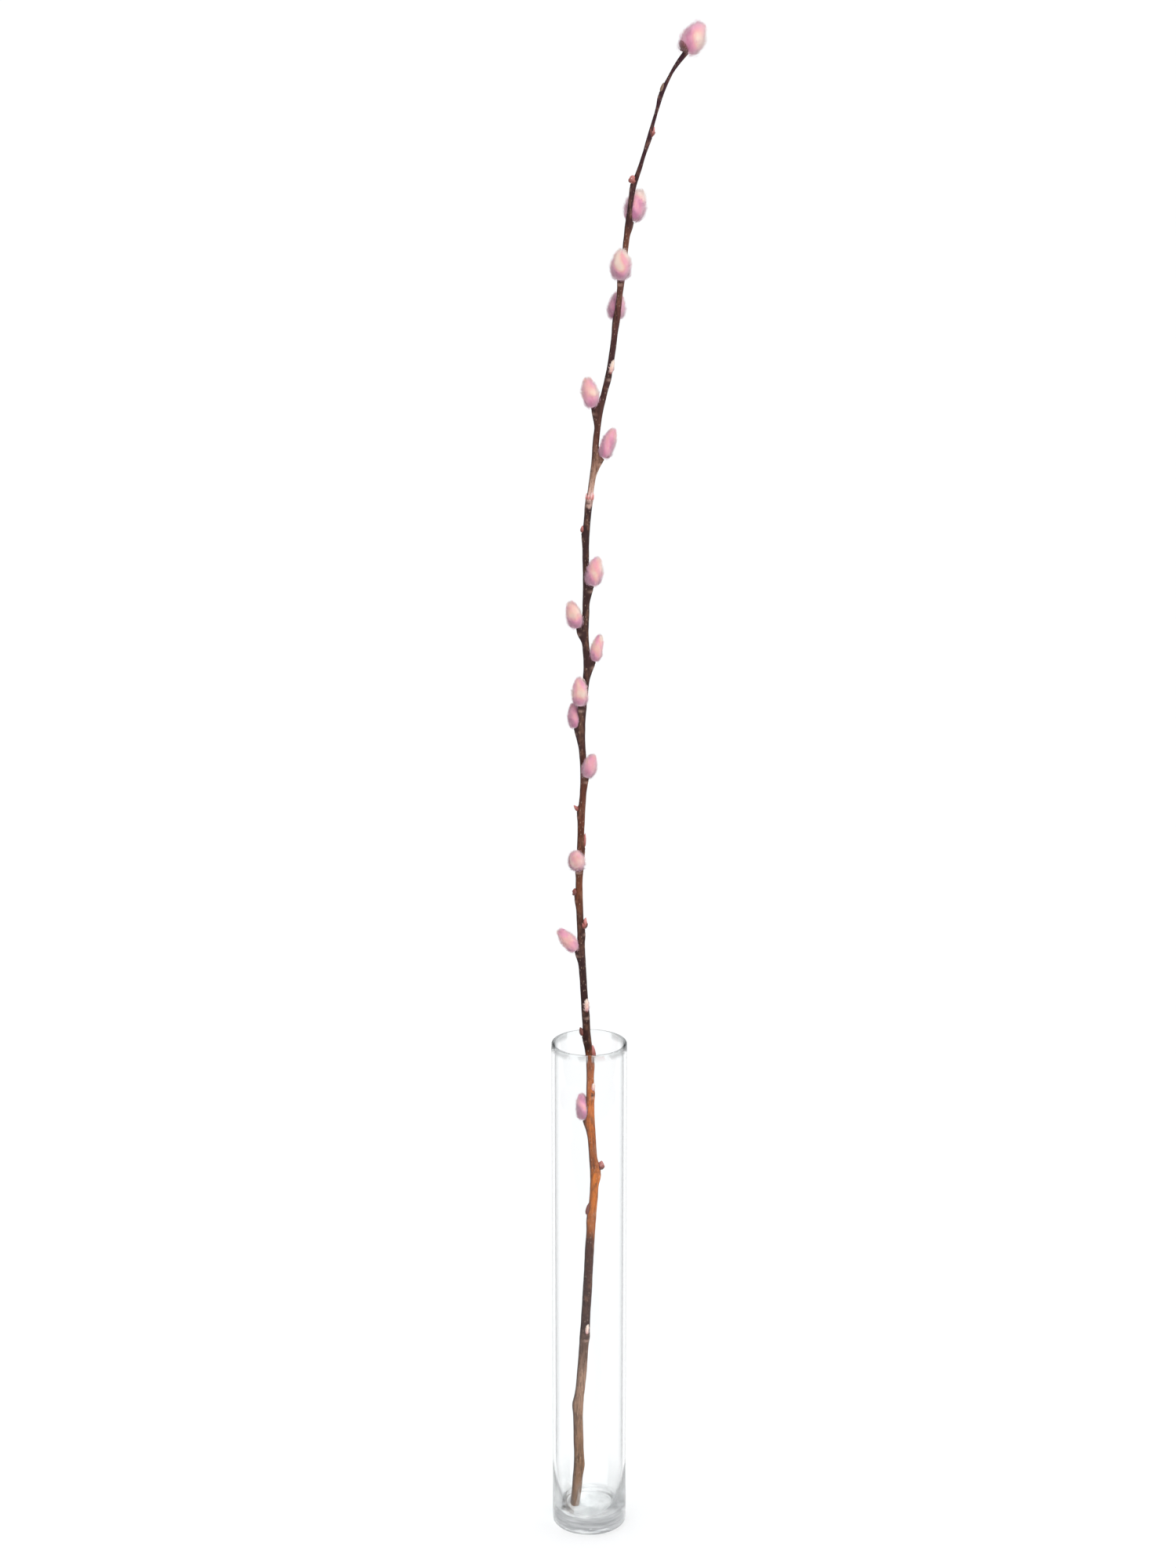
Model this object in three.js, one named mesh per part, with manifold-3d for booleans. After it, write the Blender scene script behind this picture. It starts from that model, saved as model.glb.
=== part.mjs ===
// A cut pussy-willow stem standing in a tall clear glass cylinder vase.
// Millimetres, +Z up. The origin is the centre of the vase's flat foot.
// The stem's cut end rests on the vase floor at the front left, and the stem leans
// back until it touches the inside of the rim. Catkins and buds sit on it alternately.
import * as THREE from 'three';
import Module from 'manifold-3d';
import { mergeVertices } from 'three/addons/utils/BufferGeometryUtils.js';

// Vase
const VASE_HEIGHT = 350;
const VASE_RADIUS = 25;
const VASE_WALL = 2.2;
const VASE_FLOOR = 9.5; // thickness of the solid glass foot
const FOOT_ROUND = 2.4;
const BOWL_REACH = 8; // the bore is a bowl at the bottom: how far its curve reaches inward
const BOWL_RISE = 36; // and how far up the wall
const VASE_SIDES = 44;
const PROFILE_STEPS = 3; // pairs of straight pieces in each curve of the profile

// Stem: points on its centreline, [x, y, z], from the cut end to the tip
const STEM_LINE = [
  [-10.6, -3.5, 10.3], [-8.4, -2.6, 26.6], [-7.1, -2.1, 47], [-7.4, -0.7, 83.6], [-5.2, 0.8, 108],
  [-1.9, 2.6, 158.8], [1, 5.4, 212.4], [3.2, 7.3, 240.6], [3.4, 7.9, 253.7], [2.2, 8.7, 271.9],
  [0.8, 11.6, 300], [0.4, 16.6, 329.9], [-1.6, 19.7, 349.8], [-3.6, 21.8, 379.9], [-5.5, 24.6, 415],
  [-6.6, 25.8, 447], [-5.7, 28.2, 478], [-4.6, 29, 504], [-3.5, 30.4, 523], [-4.8, 31, 548],
  [-4, 32.9, 570], [-1.6, 33.6, 595], [-2.4, 35.2, 618], [-2, 35.9, 647], [-2.1, 37.8, 678],
  [-0.6, 38.1, 700], [2.1, 39.3, 720], [4.8, 39.4, 748], [7, 40.3, 763], [13, 40.5, 790],
  [17.1, 41.6, 820], [22, 41.9, 860], [27.2, 42.9, 901], [32, 42.8, 917], [38.5, 43.6, 939],
  [45.6, 43.7, 962], [51.8, 44.2, 975], [59.8, 44.3, 986]
];
// Stem diameter at a height, [z, diameter]
const STEM_TAPER = [[10, 6.8], [200, 6.2], [340, 5.4], [515, 4.8], [870, 4.0], [920, 3.0], [986, 2.2]];
const STEM_SIDES = 9;
const STEM_STEPS = 155;
const CUSHION_SPREAD = 5; // how far a leaf cushion fades along the stem
const CUSHION_DROP = 1.5; // its middle lies this far below the bud that it carries
const CUSHION_RISE = 0.4; // how far it stands out, plus a share of its bud's own distance
const CUSHION_SHARE = 0.8;
const GAP = 0.3; // between pieces that touch

// Catkins, from the vase up: height and bearing of the foot on the stem, how far its axis
// starts outside the bark, degrees it leans out from the stem, length and width.
// The last one ends the stem and sits on its tip.
const CATKINS = [
  { height: 290, bearing: 154, out: 1.3, lean: 7, length: 18.5, width: 10 },
  { height: 406, bearing: 195, out: 0.8, lean: 36, length: 19, width: 11 },
  { height: 463, bearing: 258, out: 1.3, lean: 48, length: 19, width: 13.2 },
  { height: 524, bearing: 300, out: 1.3, lean: 27, length: 18.5, width: 10.6 },
  { height: 555, bearing: 160, out: 1.5, lean: 8, length: 17, width: 9.2 },
  { height: 571, bearing: 245, out: 1.3, lean: 17, length: 20.5, width: 11.4 },
  { height: 600, bearing: 350, out: 2.4, lean: 14, length: 18, width: 9 },
  { height: 622, bearing: 185, out: 2.4, lean: 17, length: 18, width: 11.6 },
  { height: 650, bearing: 326, out: 1.8, lean: 14, length: 19.5, width: 12 },
  { height: 733, bearing: 352, out: 3.2, lean: 15, length: 20.5, width: 10.4 },
  { height: 764, bearing: 190, out: 3, lean: 22, length: 19.5, width: 12 },
  { height: 820, bearing: 97, out: 1.5, lean: 18, length: 17.5, width: 12.4 },
  { height: 846, bearing: 255, out: 1.5, lean: 16, length: 20.5, width: 14.4 },
  { height: 882, bearing: 56, out: 1.5, lean: 17, length: 20.5, width: 15.4 },
  { height: 985.5, bearing: 0, out: -1, lean: -9, length: 22.5, width: 14.5 }
];
const CATKIN_SIDES = 12;
const CATKIN_RINGS = 7;

// Buds, from the vase up, given as the catkins are; silk marks those whose fur shows
const BUDS = [
  { height: 138.5, bearing: 295, out: 0.5, lean: 8, length: 8, width: 3.6, silk: true },
  { height: 223.5, bearing: 185, out: 0.2, lean: 3, length: 9, width: 3.8, silk: false },
  { height: 255.7, bearing: 5, out: 2, lean: 14, length: 7, width: 4, silk: false },
  { height: 310, bearing: 310, out: 0.4, lean: 12, length: 6, width: 3.4, silk: true },
  { height: 331, bearing: 352, out: 0.3, lean: 3, length: 10, width: 3.8, silk: false },
  { height: 347, bearing: 185, out: 0.5, lean: 16, length: 6.5, width: 4, silk: false },
  { height: 363, bearing: 290, out: 0.5, lean: 12, length: 10, width: 5, silk: true },
  { height: 420, bearing: 340, out: 0.5, lean: 8, length: 9.5, width: 4.4, silk: false },
  { height: 443, bearing: 190, out: 0.5, lean: 10, length: 6, width: 3, silk: false },
  { height: 475, bearing: 0, out: 0.5, lean: 4, length: 10.5, width: 2.6, silk: false },
  { height: 500, bearing: 190, out: 0.5, lean: 26, length: 5.5, width: 3.2, silk: false },
  { height: 684, bearing: 180, out: 0.4, lean: 10, length: 5, width: 3.8, silk: false },
  { height: 705, bearing: 255, out: 0.5, lean: 12, length: 8, width: 5, silk: true },
  { height: 786, bearing: 292, out: 0.5, lean: 6, length: 9.5, width: 4.4, silk: true },
  { height: 905, bearing: 190, out: 0.5, lean: 14, length: 6, width: 4, silk: false },
  { height: 934, bearing: 350, out: 0.4, lean: 6, length: 8.5, width: 3, silk: false },
  { height: 961, bearing: 190, out: 0.5, lean: 6, length: 6.5, width: 2.6, silk: false }
];
const BUD_SIDES = 8;
const BUD_RINGS = 5;

// Bare leaf scars, which are low swellings of the stem itself
const SCARS = [
  { height: 88.7, bearing: 180, out: 0.8 },
  { height: 45, bearing: 0, out: 0.8 }
];

// Brown scale that opened when the top catkin came out, placed as the catkins are
const TOP_SCALE = { bearing: 180, out: 1.2, lean: 8, length: 11, width: 9.5, drop: 1.5 };

const glass = new THREE.MeshStandardMaterial({
  color: 0xdfe9e6, roughness: 0.04, metalness: 0, transparent: true, opacity: 0.3
});
const bark = new THREE.MeshStandardMaterial({ color: 0x85614f, roughness: 0.72, metalness: 0 });
const fur = new THREE.MeshStandardMaterial({ color: 0xd9a9a8, roughness: 0.95, metalness: 0 });
const silk = new THREE.MeshStandardMaterial({ color: 0xd8bcb4, roughness: 0.85, metalness: 0 });
const scale = new THREE.MeshStandardMaterial({ color: 0x6f4038, roughness: 0.55, metalness: 0 });

const wasm = await Module();
wasm.setup();

function toSolid(geometry) {
  const bare = geometry.clone();
  bare.deleteAttribute('normal');
  bare.deleteAttribute('uv');
  const merged = mergeVertices(bare, 1e-4);
  return new wasm.Manifold(new wasm.Mesh({
    numProp: 3,
    vertProperties: new Float32Array(merged.attributes.position.array),
    triVerts: new Uint32Array(merged.index.array)
  }));
}

function toGeometry(solid) {
  const mesh = solid.getMesh();
  const geometry = new THREE.BufferGeometry();
  geometry.setAttribute('position', new THREE.BufferAttribute(mesh.vertProperties, 3));
  geometry.setIndex(new THREE.BufferAttribute(mesh.triVerts, 1));
  geometry.computeVertexNormals();
  return geometry;
}

// The vase is one turned profile: flat foot, straight wall, round rim, bowl-shaped floor.
function vaseGeometry() {
  const inner = VASE_RADIUS - VASE_WALL;
  const rim = VASE_WALL / 2;
  const profile = new THREE.Path();
  profile.moveTo(0, 0);
  profile.lineTo(VASE_RADIUS - FOOT_ROUND, 0);
  profile.absarc(VASE_RADIUS - FOOT_ROUND, FOOT_ROUND, FOOT_ROUND, -Math.PI / 2, 0, false);
  profile.lineTo(VASE_RADIUS, VASE_HEIGHT - rim);
  profile.absarc(VASE_RADIUS - rim, VASE_HEIGHT - rim, rim, 0, Math.PI, false);
  profile.lineTo(inner, VASE_FLOOR + BOWL_RISE);
  profile.absellipse(
    inner - BOWL_REACH, VASE_FLOOR + BOWL_RISE, BOWL_REACH, BOWL_RISE, 0, -Math.PI / 2, true
  );
  profile.lineTo(0, VASE_FLOOR);
  const points = profile.getPoints(PROFILE_STEPS);
  points[0].x = 0;
  points[points.length - 1].x = 0;
  return new THREE.LatheGeometry(points, VASE_SIDES).rotateX(Math.PI / 2);
}

const stemCurve = new THREE.CatmullRomCurve3(STEM_LINE.map((p) => new THREE.Vector3(...p)));

function paramAtHeight(height) {
  let low = 0;
  let high = 1;
  for (let step = 0; step < 30; step += 1) {
    const middle = (low + high) / 2;
    if (stemCurve.getPoint(middle).z < height) low = middle;
    else high = middle;
  }
  return low;
}

function stemRadius(height) {
  const above = Math.max(1, STEM_TAPER.findIndex(([z]) => z >= height));
  const [lowZ, lowWide] = STEM_TAPER[above - 1];
  const [highZ, highWide] = STEM_TAPER[above];
  const share = THREE.MathUtils.clamp((height - lowZ) / (highZ - lowZ), 0, 1);
  return THREE.MathUtils.lerp(lowWide, highWide, share) / 2;
}

const CUSHIONS = [...CATKINS.slice(0, -1), ...BUDS, ...SCARS];

// Leaf cushions stand out of the stem below each bud, on the bud's own side.
function cushionRise(height, bearing) {
  return CUSHIONS.reduce((sum, cushion) => {
    const along = (height - cushion.height + CUSHION_DROP) / CUSHION_SPREAD;
    const facing = (1 + Math.cos(bearing - THREE.MathUtils.degToRad(cushion.bearing))) / 2;
    const rise = CUSHION_RISE + CUSHION_SHARE * cushion.out;
    return sum + rise * facing * facing * Math.exp(-along * along);
  }, 0);
}

// The stem is a cylinder bent along the centreline, with its radius set at every vertex.
function stemGeometry(extra) {
  const geometry = new THREE.CylinderGeometry(1, 1, 1, STEM_SIDES, STEM_STEPS);
  const frames = stemCurve.computeFrenetFrames(STEM_STEPS, false);
  const vertex = new THREE.Vector3();
  const position = geometry.attributes.position;
  for (let i = 0; i < position.count; i += 1) {
    vertex.fromBufferAttribute(position, i);
    const step = Math.round((vertex.y + 0.5) * STEM_STEPS);
    const outward = new THREE.Vector3()
      .addScaledVector(frames.normals[step], vertex.x)
      .addScaledVector(frames.binormals[step], -vertex.z);
    const centre = stemCurve.getPointAt(step / STEM_STEPS);
    const radius = stemRadius(centre.z) + cushionRise(centre.z, Math.atan2(outward.y, outward.x));
    const end = (step === 0 ? -extra : 0) + (step === STEM_STEPS ? extra : 0);
    centre.addScaledVector(frames.tangents[step], end);
    vertex.copy(centre).addScaledVector(outward, radius + extra);
    position.setXYZ(i, vertex.x, vertex.y, vertex.z);
  }
  geometry.computeVertexNormals();
  return geometry;
}

// Egg: a turned profile standing on the origin, widest below its middle, with a blunt foot.
function eggGeometry(length, width, sides, rings) {
  const points = [];
  for (let ring = 0; ring <= rings; ring += 1) {
    const angle = (Math.PI * ring) / rings;
    const along = (1 - Math.cos(angle)) / 2;
    const round = Math.sin(angle) * (1.04 - 0.22 * along);
    points.push(new THREE.Vector2(round * (width / 2), along * length));
  }
  points[0].x = 0;
  points[rings].x = 0;
  return new THREE.LatheGeometry(points, sides).rotateX(Math.PI / 2);
}

// Places a piece that was made standing on the origin: its foot goes to the stem's side
// at a height and bearing, and its axis leans out from the stem's own direction.
function placeOnStem(geometry, { height, bearing, out, lean }) {
  const at = paramAtHeight(height);
  const along = stemCurve.getTangent(at);
  const turn = THREE.MathUtils.degToRad(bearing);
  const away = new THREE.Vector3(Math.cos(turn), Math.sin(turn), 0);
  away.addScaledVector(along, -away.dot(along)).normalize();
  const tilt = THREE.MathUtils.degToRad(lean);
  const axis = along.clone().multiplyScalar(Math.cos(tilt)).addScaledVector(away, Math.sin(tilt));
  const side = new THREE.Vector3().crossVectors(along, away).normalize();
  const foot = stemCurve.getPoint(at).addScaledVector(away, stemRadius(height) + out);
  const matrix = new THREE.Matrix4().makeBasis(new THREE.Vector3().crossVectors(side, axis), side, axis);
  return geometry.applyMatrix4(matrix.setPosition(foot));
}

const object = new THREE.Group();
const stemSpace = toSolid(stemGeometry(GAP)); // the stem with the gap added all round

function add(name, geometry, material) {
  const mesh = new THREE.Mesh(geometry, material);
  mesh.name = name;
  object.add(mesh);
}

const numbered = (name, index) => `${name}_${String(index + 1).padStart(2, '0')}`;

add('vase', vaseGeometry(), glass);
add('stem', stemGeometry(0), bark);

CATKINS.slice(0, -1).forEach((catkin, index) => {
  const egg = eggGeometry(catkin.length, catkin.width, CATKIN_SIDES, CATKIN_RINGS);
  const solid = toSolid(placeOnStem(egg, catkin)).subtract(stemSpace);
  add(numbered('catkin', index), toGeometry(solid), fur);
});

BUDS.forEach((bud, index) => {
  const egg = eggGeometry(bud.length, bud.width, BUD_SIDES, BUD_RINGS);
  const solid = toSolid(placeOnStem(egg, bud)).subtract(stemSpace);
  add(numbered('bud', index), toGeometry(solid), bud.silk ? silk : scale);
});

// The top catkin stands on the stem's end, with its opened scale against its left side.
function topPieces() {
  const top = CATKINS[CATKINS.length - 1];
  const make = (extra) => {
    const egg = eggGeometry(top.length + 2 * extra, top.width + 2 * extra, CATKIN_SIDES, CATKIN_RINGS);
    return toSolid(placeOnStem(egg.translate(0, 0, -extra), top));
  };
  const shell = eggGeometry(TOP_SCALE.length, TOP_SCALE.width, BUD_SIDES, CATKIN_RINGS);
  placeOnStem(shell.translate(0, 0, -TOP_SCALE.drop), { ...TOP_SCALE, height: top.height });
  add(numbered('catkin', CATKINS.length - 1), toGeometry(make(0).subtract(stemSpace)), fur);
  add('top_scale', toGeometry(toSolid(shell).subtract(make(GAP)).subtract(stemSpace)), scale);
}

topPieces();

export default object;
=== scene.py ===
import math

import bpy
import numpy as np
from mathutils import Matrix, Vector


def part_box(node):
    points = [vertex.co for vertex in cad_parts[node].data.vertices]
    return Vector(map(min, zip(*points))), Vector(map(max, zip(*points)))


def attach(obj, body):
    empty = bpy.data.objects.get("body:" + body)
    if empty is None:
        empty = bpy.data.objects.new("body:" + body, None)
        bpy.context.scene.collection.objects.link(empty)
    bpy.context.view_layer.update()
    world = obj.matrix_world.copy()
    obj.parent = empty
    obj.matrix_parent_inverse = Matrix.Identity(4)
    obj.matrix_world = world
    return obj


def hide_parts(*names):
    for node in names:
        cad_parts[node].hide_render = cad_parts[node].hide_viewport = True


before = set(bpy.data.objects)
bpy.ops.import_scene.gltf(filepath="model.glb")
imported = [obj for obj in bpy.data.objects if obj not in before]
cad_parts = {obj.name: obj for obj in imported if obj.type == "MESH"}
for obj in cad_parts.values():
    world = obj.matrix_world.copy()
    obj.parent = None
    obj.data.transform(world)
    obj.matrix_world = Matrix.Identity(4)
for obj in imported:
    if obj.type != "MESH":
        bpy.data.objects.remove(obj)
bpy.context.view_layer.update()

bl_info = {
    "name": "Willow Stem in a Glass Vase",
    "version": (1, 0, 0),
    "blender": (4, 5, 0),
    "location": "View3D > Sidebar > Willow",
    "description": "Builds a furry willow stem that leans in a clear glass cylinder",
    "category": "Add Mesh",
}

MM = 0.001
BODY = "root"
CATKINS = sorted(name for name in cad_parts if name.startswith("catkin_"))
BUDS = sorted(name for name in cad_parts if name.startswith("bud_"))


# ---------------------------------------------------------------- the frame's own measures

def node_points(name):
    """The corners of a CAD node, each once, in metres."""
    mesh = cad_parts[name].data
    flat = np.empty(len(mesh.vertices) * 3, np.float32)
    mesh.vertices.foreach_get("co", flat)
    return np.unique(np.round(flat.reshape(-1, 3).astype(float), 5), axis=0)


def node_centroid(name):
    """The middle of a CAD node's volume, from the cones that its faces make with the origin."""
    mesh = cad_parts[name].data
    mesh.calc_loop_triangles()
    flat = np.empty(len(mesh.vertices) * 3, np.float32)
    mesh.vertices.foreach_get("co", flat)
    corner = np.empty(len(mesh.loop_triangles) * 3, np.int32)
    mesh.loop_triangles.foreach_get("vertices", corner)
    start = flat.reshape(-1, 3)[0].astype(float)
    a, b, c = np.moveaxis(flat.reshape(-1, 3)[corner].reshape(-1, 3, 3) - start, 1, 0)
    volume = np.einsum("ij,ij->i", a, np.cross(b, c))
    return start + ((a + b + c) * volume[:, None]).sum(0) / (4 * volume.sum())


def unit(vector):
    """A vector, or each row of an array, at length 1."""
    return vector / np.maximum(np.linalg.norm(vector, axis=-1, keepdims=True), 1e-12)


EGG_MIDDLE = 0.468  # an egg's centroid lies at this share of its length from the foot


def egg_of(name):
    """Foot, axis, length and width of a CAD egg. Its tip is the corner farthest up from the
    centroid, its axis runs through both, and the centroid's known share gives the length."""
    points, middle = node_points(name), node_centroid(name)
    reach = points - middle
    reach = reach[reach[:, 2] > 0]
    tip = middle + reach[np.linalg.norm(reach, axis=1).argmax()]
    axis = unit(tip - middle)
    length = np.linalg.norm(tip - middle) / (1 - EGG_MIDDLE)
    spoke = points - middle
    spoke = spoke - np.outer(spoke @ axis, axis)
    return tip - axis * length, axis, length, 2 * np.linalg.norm(spoke, axis=1).max()


def vase_sizes():
    """Outer radius, inner radius, height and floor height of the CAD vase."""
    points = node_points("vase")
    radius = np.hypot(points[:, 0], points[:, 1])
    high = points[:, 2].max()
    upper = radius[(points[:, 2] > 0.5 * high)]
    floor = points[(radius < 1e-4) & (points[:, 2] > 1e-4), 2].min()
    return radius.max(), upper.min(), high, floor


VASE_RADIUS, VASE_INNER, VASE_HEIGHT, VASE_FLOOR = (float(size) for size in vase_sizes())


# ---------------------------------------------------------------- meshes from arrays

def make_piece(name, points, faces, attributes, material, normals=None):
    """A mesh piece that rides on the body: points, arrays of triangles or quads, point values, and
    normals where it is to be lit as a softer shape than it has."""
    mesh = bpy.data.meshes.new(name)
    sizes = np.concatenate([np.full(len(part), part.shape[1]) for part in faces])
    corners = np.concatenate([part.ravel() for part in faces]).astype(np.int32)
    mesh.vertices.add(len(points))
    mesh.vertices.foreach_set("co", np.ascontiguousarray(points, np.float32).ravel())
    mesh.loops.add(len(corners))
    mesh.loops.foreach_set("vertex_index", corners)
    mesh.polygons.add(len(sizes))
    mesh.polygons.foreach_set("loop_start", np.concatenate([[0], sizes.cumsum()[:-1]]))
    mesh.polygons.foreach_set("use_smooth", np.ones(len(sizes), bool))
    mesh.update(calc_edges=True)
    for key, values in attributes.items():
        layer = mesh.attributes.new(key, "FLOAT", "POINT")
        layer.data.foreach_set("value", np.ascontiguousarray(values, np.float32).ravel())
    if normals is not None:
        mesh.normals_split_custom_set_from_vertices(normals.tolist())
    mesh.materials.append(material)
    piece = bpy.data.objects.new(name, mesh)
    bpy.context.scene.collection.objects.link(piece)
    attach(piece, BODY)
    return piece


def ring_faces(rows, sides, first=0):
    """Quads between rings of points that follow each other, outward where a ring turns left."""
    row, side = np.meshgrid(np.arange(rows - 1), np.arange(sides), indexing="ij")
    beside = (side + 1) % sides
    quads = np.stack([row * sides + side, row * sides + beside,
                      (row + 1) * sides + beside, (row + 1) * sides + side], -1)
    return quads.reshape(-1, 4) + first


def closed_surface(grid, low, high):
    """A grid of rings with a point that closes each end: its points and its faces."""
    rows, sides = grid.shape[:2]
    points = np.concatenate([grid.reshape(-1, 3), [low, high]])
    side = np.arange(sides)
    beside = (side + 1) % sides
    last = (rows - 1) * sides
    under = np.stack([np.full(sides, rows * sides), beside, side], -1)
    over = np.stack([np.full(sides, rows * sides + 1), last + side, last + beside], -1)
    return points, [ring_faces(rows, sides), under, over]


def joined(parts):
    """Several (points, faces, attributes) as one."""
    points = np.concatenate([part[0] for part in parts])
    starts = np.cumsum([0] + [len(part[0]) for part in parts[:-1]])
    faces = [face + start for part, start in zip(parts, starts) for face in part[1]]
    keys = parts[0][2].keys()
    return points, faces, {key: np.concatenate([part[2][key] for part in parts]) for key in keys}


def across(axis):
    """Two directions at right angles to an axis and to each other."""
    first = unit(np.cross(axis, [0.0, 1.0, 0.0] if abs(axis[1]) < 0.9 else [1.0, 0.0, 0.0]))
    return first, np.cross(axis, first)


def ripple(draw, along, turn, waves, fastest, around):
    """Smooth noise on a tube: a sum of waves that run along it and a whole number of times
    round it, with random pitch and phase, from about -1 to 1."""
    total = np.zeros(np.broadcast(along, turn).shape)
    for _ in range(waves):
        pitch = draw.uniform(0.2, 1) * fastest
        total += np.sin(pitch * along + draw.integers(0, around + 1) * turn + draw.uniform(0, 6.28))
    return total / math.sqrt(waves)


# ---------------------------------------------------------------- shader graphs

class Value:
    """A socket of a node tree. Arithmetic on it adds Math nodes."""

    def __init__(self, graph, socket):
        self.graph = graph
        self.socket = socket

    def math(self, operation, *values):
        return self.graph.node("ShaderNodeMath", {"operation": operation}, dict(enumerate(values)))

    def __add__(self, other):
        return self.math("ADD", self, other)

    def __radd__(self, other):
        return self.math("ADD", other, self)

    def __sub__(self, other):
        return self.math("SUBTRACT", self, other)

    def __rsub__(self, other):
        return self.math("SUBTRACT", other, self)

    def __mul__(self, other):
        return self.math("MULTIPLY", self, other)

    def __rmul__(self, other):
        return self.math("MULTIPLY", other, self)

    def __truediv__(self, other):
        return self.math("DIVIDE", self, other)

    def __pow__(self, other):
        return self.math("POWER", self, other)

    def between(self, low, high):
        """0 at low and under, 1 at high and over, smooth between."""
        return self.graph.node("ShaderNodeMapRange", {"interpolation_type": "SMOOTHSTEP"},
                               {"Value": self, "From Min": low, "From Max": high})


class Graph:
    """A material's nodes, written as expressions."""

    def __init__(self, name):
        self.material = bpy.data.materials.new(name)
        self.material.use_nodes = True
        self.tree = self.material.node_tree
        self.tree.nodes.clear()

    def node(self, kind, settings=None, inputs=None, output=0):
        made = self.tree.nodes.new(kind)
        for key, value in (settings or {}).items():
            if key == "stops":
                self.set_stops(made.color_ramp, value)
            else:
                setattr(made, key, value)
        for key, value in (inputs or {}).items():
            if isinstance(value, Value):
                self.tree.links.new(value.socket, made.inputs[key])
            else:
                made.inputs[key].default_value = value
        return Value(self, made.outputs[output])

    @staticmethod
    def set_stops(ramp, stops):
        while len(ramp.elements) < len(stops):
            ramp.elements.new(1.0)
        for element, (place, colour) in zip(ramp.elements, stops):
            element.position = place
            element.color = (*colour, 1)

    def ramp(self, value, stops):
        return self.node("ShaderNodeValToRGB", {"stops": stops}, {"Fac": value})

    def mix(self, share, one, other, blend="MIX"):
        colours = [tuple(c) + (1,) if isinstance(c, tuple) else c for c in (one, other)]
        return self.node("ShaderNodeMix", {"data_type": "RGBA", "blend_type": blend},
                         {0: share, 6: colours[0], 7: colours[1]}, 2)

    def point(self):
        return self.node("ShaderNodeTexCoord", output="Object")

    def attribute(self, name):
        return self.node("ShaderNodeAttribute", {"attribute_name": name}, output="Fac")

    def noise(self, place, scale, detail=3.0, rough=0.55):
        return self.node("ShaderNodeTexNoise", {},
                         {"Vector": place, "Scale": scale, "Detail": detail, "Roughness": rough})

    def stretched(self, place, scale):
        return self.node("ShaderNodeMapping", {}, {"Vector": place, "Scale": scale})

    def bump(self, height, distance, strength=1.0):
        return self.node("ShaderNodeBump", {},
                         {"Height": height, "Distance": distance, "Strength": strength})

    def surface(self, shader):
        end = self.tree.nodes.new("ShaderNodeOutputMaterial")
        self.tree.links.new(shader.socket, end.inputs["Surface"])
        return self.material


def srgb(red, green, blue):
    """A colour of 0 to 255 parts, as the linear light that a shader reads."""
    parts = (part / 255 for part in (red, green, blue))
    return tuple(p / 12.92 if p <= 0.04045 else ((p + 0.055) / 1.055) ** 2.4 for p in parts)


# The stem's bark from the cut end to the tip, 1 m up at most: height in metres and colour
BARK_BANDS = [
    (0.010, srgb(116, 84, 56)), (0.060, srgb(134, 100, 74)), (0.105, srgb(156, 124, 104)),
    (0.128, srgb(112, 86, 72)), (0.145, srgb(60, 40, 36)), (0.205, srgb(74, 42, 32)),
    (0.216, srgb(166, 90, 34)), (0.250, srgb(200, 110, 34)), (0.262, srgb(138, 72, 30)),
    (0.300, srgb(196, 104, 34)), (0.330, srgb(146, 80, 44)), (0.340, srgb(52, 28, 24)),
    (0.400, srgb(60, 38, 38)), (0.425, srgb(70, 44, 38)), (0.440, srgb(112, 64, 42)),
    (0.520, srgb(96, 54, 42)), (0.545, srgb(64, 40, 38)), (0.700, srgb(58, 38, 38)),
    (0.706, srgb(214, 176, 166)), (0.716, srgb(188, 152, 134)), (0.726, srgb(150, 112, 94)),
    (0.745, srgb(94, 58, 48)), (0.790, srgb(60, 38, 40)), (0.830, srgb(92, 54, 48)),
    (0.868, srgb(114, 70, 54)), (0.885, srgb(60, 36, 38)), (0.910, srgb(74, 44, 44)),
    (0.930, srgb(62, 34, 42)), (0.990, srgb(58, 30, 40)),
]


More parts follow.
